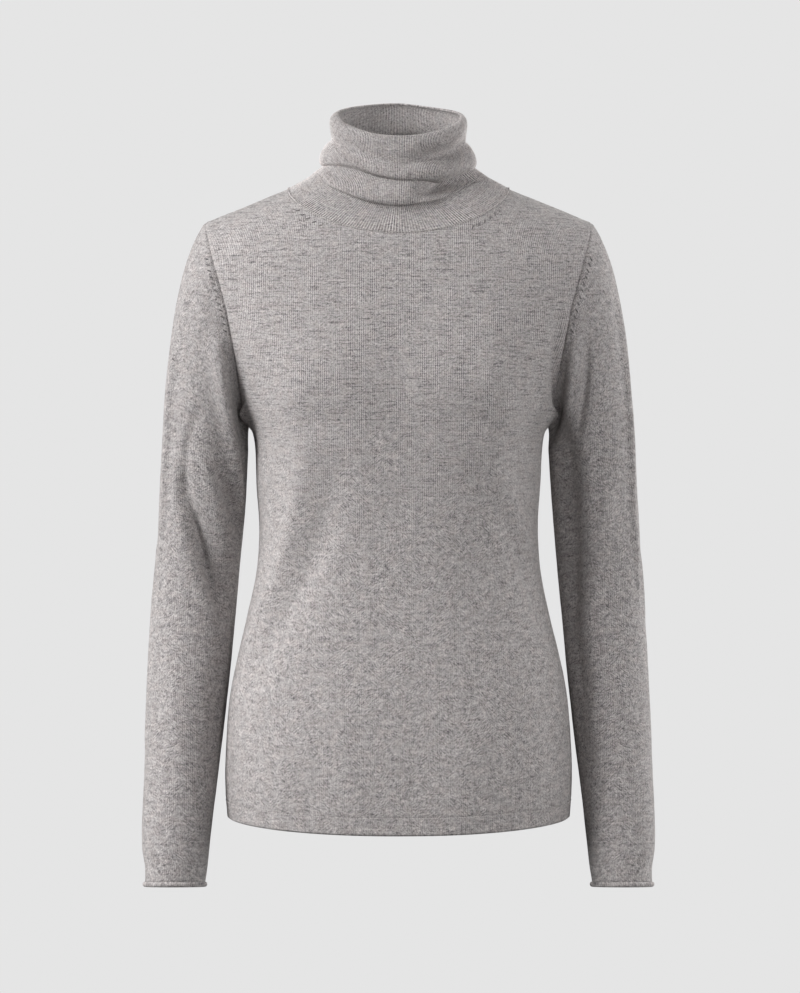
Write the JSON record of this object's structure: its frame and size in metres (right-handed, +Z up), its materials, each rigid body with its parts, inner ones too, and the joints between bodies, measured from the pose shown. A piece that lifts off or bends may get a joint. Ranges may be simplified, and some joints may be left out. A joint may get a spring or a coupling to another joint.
{
  "type": "turtleneck sweater",
  "caption": "Fine-knit turtleneck sweater with set-in long sleeves and a slouched rib collar, filled out as if worn, with neck, cuffs and hem open.",
  "frame": {"origin": "midway between the two points where the collar's seam crosses the shoulders, at their height", "axes": "+Z up towards the collar's rim, -Y towards the wearer's front, +X towards the wearer's left"},
  "size_m": [0.4868, 0.2156, 0.7513],
  "materials": {
    "jersey": "fine mottled grey wool jersey with a soft brushed surface",
    "rib": "fine grey wool rib"
  },
  "bodies": {
    "root": {"front_panel": "jersey", "back_panel": "jersey", "sleeve_left": "jersey", "sleeve_right": "jersey", "hem_front": "jersey", "hem_back": "jersey", "cuff_roll_left": "jersey", "cuff_roll_right": "jersey", "collar": "rib"}
  },
  "joints": []
}
